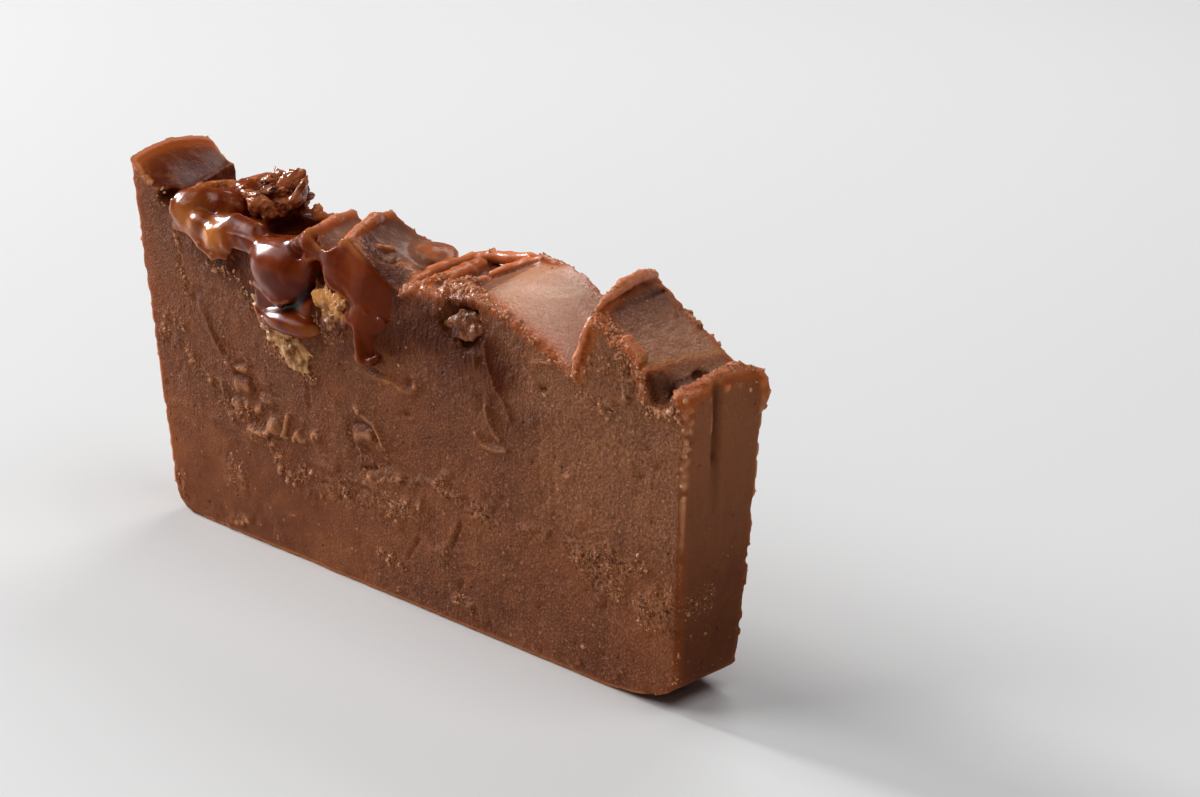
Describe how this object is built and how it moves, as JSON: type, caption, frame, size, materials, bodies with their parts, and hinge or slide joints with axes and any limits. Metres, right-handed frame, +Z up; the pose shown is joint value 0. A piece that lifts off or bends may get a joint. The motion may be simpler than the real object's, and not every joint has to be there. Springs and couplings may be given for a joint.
{
  "type": "fudge slice",
  "caption": "Loaf slice of chocolate fudge standing on its base, with a swirled top and caramel and pecans at one end.",
  "frame": {"origin": "middle of the flat base that the slice stands on", "axes": "+X along the slice away from the caramel end, +Y from the shown cut face to the other, +Z up"},
  "size_m": [0.1445, 0.0231, 0.0716],
  "materials": {
    "fudge": "satin chocolate fudge, a little crumbly where it was cut",
    "caramel": "wet caramel, glossy and slightly see-through",
    "pecan": "pecan kernel under a thin coat of caramel"
  },
  "bodies": {
    "root": {"fudge": "fudge", "caramel": "caramel", "nut_across": "pecan", "nut_pecan_half": "pecan", "nut_golden": "pecan", "nut_crumbled": "pecan", "nut_sunk": "pecan"}
  },
  "joints": []
}
